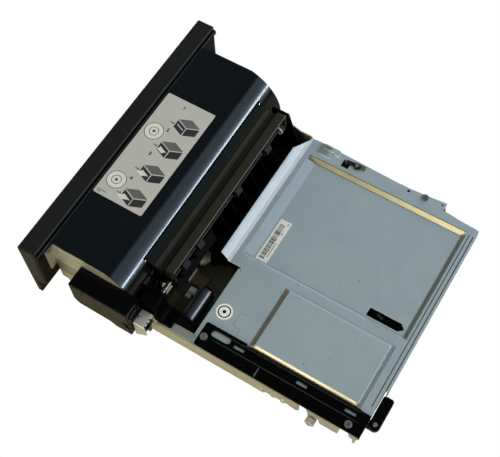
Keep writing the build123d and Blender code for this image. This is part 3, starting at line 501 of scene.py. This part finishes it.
FASCIA = fascia_finish()
COVER = cover_finish()
BLACK = black_finish(gloss=0.07).done()
FRAME_BLACK = black_finish("frame_black", (0.0010, 0.0010, 0.0012), 0.5, 0.035).done()
RAIL = rail_finish()
BACKPLATE = backplate_finish()
GLOSS_BLACK = black_finish("gloss_black", (0.0012, 0.0012, 0.0014), 0.22, 0.08).done()
FLAP = flap_finish()
COVER_STEEL = tray_cover_finish()
PLATE_STEEL = plate_finish()
BRACKET_STEEL = bracket_finish()
CLIP_STEEL = sheet_finish("clip_steel", (0.66, 0.72, 0.78), (0.74, 0.78, 0.82), 0.4).done()
# the base pan's zinc is given a dark brown colour, as painted shade deep inside the unit
SHADED_PAN_STEEL = sheet_finish("pan_shaded_steel", (0.085, 0.078, 0.055), (0.12, 0.108, 0.072), 0.42, 0.22).done()
SCREW_STEEL = sheet_finish("screw_steel", (0.16, 0.16, 0.15), (0.30, 0.30, 0.28), 0.36, 0.3).done()
SHAFT = shaft_finish().done()
EXIT_SHAFT = sleeve_and_shade_finish("exit_shaft_steel", ("x", 98.5, 120.0))
# the plunger is black outside its tip, as painted shade inside the bracket box
PLUNGER = sleeve_and_shade_finish("plunger_tip", ("depth", 127.0, 140.0))
LATCH = latch_finish()
RUBBER = rubber_finish()
DARK_RUBBER = rubber_finish("dark_rubber", (0.006, 0.0065, 0.008))
BELT = rubber_finish("belt_rubber", (0.008, 0.008, 0.008))
ROLLER = roller_finish()
IVORY = moulded_finish("ivory_plastic", (0.56, 0.47, 0.28), (0.74, 0.64, 0.42))
BUSH = moulded_finish("bush_plastic", (0.55, 0.55, 0.52), (0.7, 0.7, 0.67))
GREY = moulded_finish("grey_plastic", (0.42, 0.45, 0.53), (0.54, 0.57, 0.64))
FELT = felt_finish()
BOARD = board_finish()
GLASS = glass_finish()
CAN = can_finish()
SILVER_FILM = film_finish("label_silver", (0.55, 0.54, 0.53), (0.64, 0.63, 0.62))
WHITE_FILM = film_finish("label_white", (0.74, 0.75, 0.76), (0.86, 0.86, 0.86))
BADGE_FILM = film_finish("badge_white", (0.94, 0.95, 0.96), (1.0, 1.0, 1.0))
INK = ink_finish("dark_ink", (0.028, 0.028, 0.032))
INK_BLACK = ink_finish("black_ink", (0.003, 0.003, 0.003))
INK_SOFT = ink_finish("grey_ink", (0.13, 0.13, 0.13))
INK_WHITE = ink_finish("white_ink", (0.72, 0.74, 0.70))
INK_GREEN = ink_finish("green_ink", (0.02, 0.34, 0.25))
INK_TEAL = ink_finish("teal_ink", (0.03, 0.12, 0.12))

FINISH_OF = {
    FASCIA: "front_fascia",
    COVER: "top_cover",
    GLOSS_BLACK: "drive_cover latch_lever",
    RAIL: "cover_rail",
    FLAP: "jam_flap",
    BACKPLATE: "fascia_backplate",
    BLACK: "upper_guide lower_guide roller_bracket image_sensor_bar "
    "dock_connector tray_sensor sensor_flag",
    FRAME_BLACK: "inner_frame_near inner_frame_far glide_runners near_guard flap_idlers ribbed_guide",
    COVER_STEEL: "metal_cover",
    PLATE_STEEL: "side_plate_near side_plate_far",
    BRACKET_STEEL: "side_bracket",
    CLIP_STEEL: "steel_clips",
    SHADED_PAN_STEEL: "base_pan",
    SCREW_STEEL: "rail_screws cover_screws",
    EXIT_SHAFT: "exit_shaft",
    PLUNGER: "bracket_plunger",
    LATCH: "side_latch guide_roller_shaft",
    SHAFT: "flap_pins feed_shaft pinch_shaft pinch_springs guide_studs "
    "pivot_pins motor_pinion",
    RUBBER: "feed_tyres pinch_rollers",
    DARK_RUBBER: "exit_tyres",
    BELT: "drive_belt",
    ROLLER: "guide_roller",
    IVORY: "centring_pinion centring_rack",
    BUSH: "shaft_bushes feed_gear guide_wheel_near guide_wheel_far",
    GREY: "sensor_block feed_pulley exit_pulley",
    FELT: "felt_pad",
    BOARD: "control_board",
    GLASS: "sensor_glass",
    CAN: "drive_motor",
    SILVER_FILM: "instruction_label",
    WHITE_FILM: "barcode_label",
    BADGE_FILM: "badge_label",
}
for finish, names in FINISH_OF.items():
    for name in names.split():
        mesh = NODES[name].data
        mesh.materials.clear()
        mesh.materials.append(finish)


# ---------------------------------------------------------------- thin printed and engraved pieces
class Print:
    """Flat ink shapes gathered into one thin mesh, drawn at a height above the base."""

    def __init__(self, name, finish, slot, z, thick):
        self.name, self.finish, self.slot = name, finish, slot
        self.low, self.high = z, z + thick
        self.corners, self.faces = [], []

    def area(self, outline):
        """One filled outline of (x, depth) corners, as a thin slab."""
        first, n = len(self.corners), len(outline)
        turn = sum(a[0] * b[1] - b[0] * a[1] for a, b in zip(outline, outline[1:] + outline[:1]))
        if turn < 0:
            outline = outline[::-1]
        for z in (self.low, self.high):
            self.corners += [at(x, depth, z) for x, depth in outline]
        self.faces.append([first + n + i for i in range(n)])
        self.faces.append([first + i for i in reversed(range(n))])
        for i in range(n):
            j = (i + 1) % n
            self.faces.append([first + i, first + j, first + n + j, first + n + i])

    def stroke(self, points, width):
        """A line of constant width through these points."""
        for (ax, ad), (bx, bd) in zip(points, points[1:]):
            run = math.hypot(bx - ax, bd - ad)
            ux, ud = (bx - ax) / run * width / 2, (bd - ad) / run * width / 2
            self.area(
                [
                    (ax - ux - ud, ad - ud + ux),
                    (ax - ux + ud, ad - ud - ux),
                    (bx + ux + ud, bd + ud - ux),
                    (bx + ux - ud, bd + ud + ux),
                ]
            )

    def ring(self, centre, radius, width, steps=40):
        inner, outer = radius - width / 2, radius + width / 2
        for i in range(steps):
            a, b = (math.radians(360.0 * (i + k) / steps) for k in (0, 1))
            self.area(
                [
                    (centre[0] + r * math.cos(t), centre[1] + r * math.sin(t))
                    for r, t in ((inner, a), (outer, a), (outer, b), (inner, b))
                ]
            )

    def disc(self, centre, radius, steps=40):
        turns = [2 * math.pi * i / steps for i in range(steps)]
        self.area([(centre[0] + radius * math.cos(t), centre[1] + radius * math.sin(t)) for t in turns])

    def make(self):
        mesh = bpy.data.meshes.new(self.name)
        mesh.from_pydata(self.corners, [], self.faces)
        mesh.update()
        mesh.materials.append(self.finish)
        piece = bpy.data.objects.new(self.name, mesh)
        bpy.context.scene.collection.objects.link(piece)
        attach(piece, "root")


def page(u, v):
    """A label point as read upright, u to the right and v up, turned into (x, depth)."""
    return (-v, u)


LABEL_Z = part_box("instruction_label")[1].z / MM
grey = Print("label_art_grey", INK_SOFT, "label_silver", LABEL_Z, 0.02)
dark = Print("label_art_dark", INK, "label_silver", LABEL_Z, 0.03)
white = Print("label_art_white", INK_WHITE, "label_silver", LABEL_Z, 0.04)
green = Print("label_art_green", INK_GREEN, "label_silver", LABEL_Z, 0.05)

# made-up pictures: the same plain slotted box for every step, its sheet further out each time
TOP = [(-12.0, 15.0), (0.0, 20.0), (12.0, 15.0), (0.0, 10.0)]
LEFT = [(-12.0, 13.8), (-0.5, 9.0), (-0.5, 0.5), (-12.0, 5.3)]
RIGHT = [(12.0, 13.8), (0.5, 9.0), (0.5, 0.5), (12.0, 5.3)]
STEPS = ((24.3, 0.0), (-4.8, 2.5), (-34.8, 5.0), (-64.4, 7.5))  # each box's height and sheet length
BOX_U = 61.1
ARROW_WIDTH, ARROW_HEAD = 1.3, 2.0


def arrow(start, end, v):
    """A green arrow that points right, at this height on the label."""
    green.stroke([page(start, v), page(end, v)], ARROW_WIDTH)
    wing = ARROW_HEAD * 0.75
    green.area([page(end + ARROW_HEAD, v), page(end, v + wing), page(end, v - wing)])


def step_points(base, shape):
    return [page(BOX_U + u, base + v) for u, v in shape]


for base, sheet in STEPS:
    grey.area(step_points(base, TOP))
    dark.area(step_points(base, LEFT))
    dark.area(step_points(base, RIGHT))
    white.stroke(step_points(base, [(-10.0, 9.4), (-2.5, 6.2)]), 0.8)
    if sheet:
        drawn_out = [(-9.6, 9.0), (-2.9, 6.2), (-2.9 - sheet, 3.4), (-9.6 - sheet, 6.2)]
        white.area(step_points(base, drawn_out))
    arrow(BOX_U - 17.0, BOX_U - 14.5, base + 8.5)

# two round close-ups of a plain roller
close_up = Print("label_art_lines", INK, "label_silver", LABEL_Z + 0.04, 0.02)
teal = Print("label_art_teal", INK_TEAL, "label_silver", LABEL_Z + 0.04, 0.015)
for u, v in ((36.0, 16.0), (36.0, -46.0)):
    white.disc(page(u, v), 9.0)
    dark.ring(page(u, v), 9.2, 0.8)
    close_up.ring(page(u, v), 4.6, 0.6)
    teal.disc(page(u, v), 1.6)

# two rows of ticks in place of text
for low, high, v in ((26.0, 35.2, -62.6), (26.8, 30.4, -64.4)):
    u = low
    while u < high:
        dark.area([page(u + a, v + b) for a, b in ((0, 0), (0.7, 0), (0.7, 0.9), (0, 0.9))])
        u += 1.0
for print_ in (grey, dark, white, green, close_up, teal):
    print_.make()


def numeral(text, size, x, depth, z, turn):
    """A printed number on the instruction label, read towards the turned X axis."""
    curve = bpy.data.curves.new(f"numeral_{text}", "FONT")
    curve.body, curve.size = text, size * MM
    curve.align_x, curve.align_y = "CENTER", "CENTER"
    curve.extrude = 0.00001
    curve.offset = 0.22 * MM
    source = bpy.data.objects.new(f"numeral_{text}", curve)
    bpy.context.scene.collection.objects.link(source)
    source.location = at(x, depth, z)
    source.rotation_euler = (0, 0, turn)
    bpy.context.view_layer.update()
    mesh = bpy.data.meshes.new_from_object(source.evaluated_get(bpy.context.evaluated_depsgraph_get()))
    mesh.transform(source.matrix_world)
    mesh.materials.clear()
    mesh.materials.append(INK)
    bpy.data.objects.remove(source)
    piece = bpy.data.objects.new(f"numeral_{text}", mesh)
    bpy.context.scene.collection.objects.link(piece)
    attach(piece, "root")


for text, v in {"1": 52.4, "2": 23.4, "3": -6.8, "4": -37.8}.items():
    x, depth = page(46.9, v)
    numeral(text, 5.2, x, depth, LABEL_Z + 0.02, math.radians(90))

# barcode label: bars across it and two rows of ticks in place of text
BAR_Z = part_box("barcode_label")[1].z / MM
bars = Print("barcode_bars", INK, "label_white", BAR_Z, 0.02)
rng = random.Random(5)
x = -17.6
while x < 23.4:
    wide = rng.choice((0.5, 0.5, 0.9, 1.4))
    bars.area([(x, 174.4), (x + wide, 174.4), (x + wide, 180.0), (x, 180.0)])
    x += wide + rng.choice((0.5, 0.6, 1.0))
for low, high in ((-21.0, -18.6), (-10.0, -7.2), (3.0, 20.0)):
    x = low
    while x < high:
        bars.area([(x, 181.2), (x + 0.5, 181.2), (x + 0.5, 182.2), (x, 182.2)])
        x += 0.85
bars.make()

# badge: a plain target, in place of the mark on the real one
BADGE_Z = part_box("badge_label")[1].z / MM
BADGE = (88.8, 177.6)
target = Print("badge_ring", INK_BLACK, "label_white", BADGE_Z, 0.02)
target.ring(BADGE, 5.6, 1.2)
target.disc(BADGE, 1.8)
target.make()

# ---------------------------------------------------------------- camera, floor and light
scene = bpy.context.scene
camera = bpy.data.objects.new("camera", bpy.data.cameras.new("camera"))
scene.collection.objects.link(camera)
# place, turn and lens solved from the right angles of the unit in the photo
CAMERA_PLACE, CAMERA_DEGREES, CAMERA_LENS = (0.36595, 0.22456, 0.86138), (27.8496, 1.4952, 121.4237), 70.47
camera.location = CAMERA_PLACE
camera.rotation_euler = Euler([math.radians(a) for a in CAMERA_DEGREES], "XYZ")
camera.data.sensor_fit = "HORIZONTAL"
camera.data.sensor_width = 36.0
camera.data.lens = CAMERA_LENS
scene.camera = camera

floor_mesh = bpy.data.meshes.new("floor")
REACH = 6  # metres from the middle of the floor to its sides
corners = [(-REACH, -REACH, 0), (REACH, -REACH, 0), (REACH, REACH, 0), (-REACH, REACH, 0)]
floor_mesh.from_pydata(corners, [], [(0, 1, 2, 3)])
floor = bpy.data.objects.new("floor", floor_mesh)
scene.collection.objects.link(floor)
floor.location.z = -0.0002
floor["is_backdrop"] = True
paper = bpy.data.materials.new("pale_floor")
paper.use_nodes = True
tree = paper.node_tree
tree.nodes.clear()
out = tree.nodes.new("ShaderNodeOutputMaterial")
seen = tree.nodes.new("ShaderNodeEmission")
seen.inputs["Color"].default_value = (1.0, 1.0, 1.0, 1.0)
lit = tree.nodes.new("ShaderNodeBsdfDiffuse")
lit.inputs["Color"].default_value = (0.86, 0.80, 0.62, 1.0)
path = tree.nodes.new("ShaderNodeLightPath")
share = tree.nodes.new("ShaderNodeMixShader")
tree.links.new(path.outputs["Is Camera Ray"], share.inputs[0])
tree.links.new(lit.outputs[0], share.inputs[1])
tree.links.new(seen.outputs[0], share.inputs[2])
tree.links.new(share.outputs[0], out.inputs["Surface"])
floor_mesh.materials.append(paper)


def lamp(name, towards, distance, size, power, colour):
    """A soft rectangular light that faces the unit from this direction."""
    data = bpy.data.lights.new(name, "AREA")
    data.shape, data.size, data.size_y = "RECTANGLE", size[0], size[1]
    data.energy, data.color = power, colour
    made = bpy.data.objects.new(name, data)
    scene.collection.objects.link(made)
    way = Vector(towards).normalized()
    made.location = way * distance
    made.rotation_euler = way.to_track_quat("Z", "Y").to_euler()
    return made


strip = lamp("window_strip", (-0.387, 0.850, 0.358), 2.2, (1.8, 0.11), 30.0, (0.99, 0.98, 1.0))
# the strip makes the nose's highlight, and is kept off the tray cover, which it would turn plain white
screened = bpy.data.collections.new("strip_screen")
for name, piece in bpy.data.objects.items():
    if piece.type == "MESH" and name != "floor" and "metal_cover" not in name:
        screened.objects.link(piece)
strip.light_linking.receiver_collection = screened

world = bpy.data.worlds.new("room")
scene.world = world
world.use_nodes = True
room = world.node_tree
sky = room.nodes["Background"]
ray = room.nodes.new("ShaderNodeTexCoord").outputs["Generated"]


def facing(towards, low, high):
    """0 to 1 as a direction turns towards this one, between two cosines."""
    dot = room.nodes.new("ShaderNodeVectorMath")
    dot.operation = "DOT_PRODUCT"
    room.links.new(ray, dot.inputs[0])
    dot.inputs[1].default_value = Vector(towards).normalized()
    step = room.nodes.new("ShaderNodeMapRange")
    step.interpolation_type = "SMOOTHERSTEP"
    step.inputs["From Min"].default_value = low
    step.inputs["From Max"].default_value = high
    room.links.new(dot.outputs["Value"], step.inputs["Value"])
    return step.outputs[0]


def tilted(degrees_back):
    """The direction square to one that leans back this far from straight up."""
    angle = math.radians(degrees_back)
    return (0.0, math.cos(angle), -math.sin(angle))


def cone(towards, wide, narrow):
    return [facing(towards, math.cos(math.radians(wide)), math.cos(math.radians(narrow)))]


def window(start, start_soft, end, end_soft, near_x):
    """A long window behind the unit, between two lean angles, up to a place along x."""
    lower = Vector(tilted(end)) * -1
    return [
        facing(tilted(start), 0.0, start_soft),
        facing(lower, 0.0, end_soft),
        facing((-1.0, 0.0, 0.0), -near_x, -near_x + 0.4),
    ]


total = None
for shares, colour in (
    (cone((-0.30, -0.20, 0.93), 65, 15), (0.162, 0.205, 0.23)),
    (window(33.0, 0.10, 76.0, 0.20, 0.35), (1.12, 1.24, 1.34)),
    (window(46.0, 0.45, 84.0, 0.10, 0.35), (0.97, 1.08, 1.19)),
    (cone((-0.97, -0.16, 0.10), 40, 12), (0.75, 0.88, 0.96)),
    (cone((0.96, -0.22, 0.05), 42, 15), (2.2, 2.1, 1.8)),
    (cone((0.62, -0.26, 0.74), 32, 10), (1.5, 1.25, 0.65)),
    (cone((0.0, 0.0, -1.0), 180, 60), (0.03, 0.032, 0.034)),
):
    level = None
    for share in shares:
        tint = room.nodes.new("ShaderNodeVectorMath")
        tint.operation = "SCALE"
        if level is None:
            tint.inputs[0].default_value = colour
        else:
            room.links.new(level, tint.inputs[0])
        room.links.new(share, tint.inputs["Scale"])
        level = tint.outputs[0]
    if total is None:
        total = level
    else:
        added = room.nodes.new("ShaderNodeVectorMath")
        room.links.new(total, added.inputs[0])
        room.links.new(level, added.inputs[1])
        total = added.outputs[0]
seen_white = room.nodes.new("ShaderNodeMix")
seen_white.data_type = "RGBA"
camera_ray = room.nodes.new("ShaderNodeLightPath").outputs["Is Camera Ray"]
room.links.new(camera_ray, seen_white.inputs["Factor"])
room.links.new(total, seen_white.inputs["A"])
seen_white.inputs["B"].default_value = (1.0, 1.0, 1.0, 1.0)
room.links.new(seen_white.outputs["Result"], sky.inputs["Color"])

scene.view_settings.view_transform = "Standard"

low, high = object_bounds()
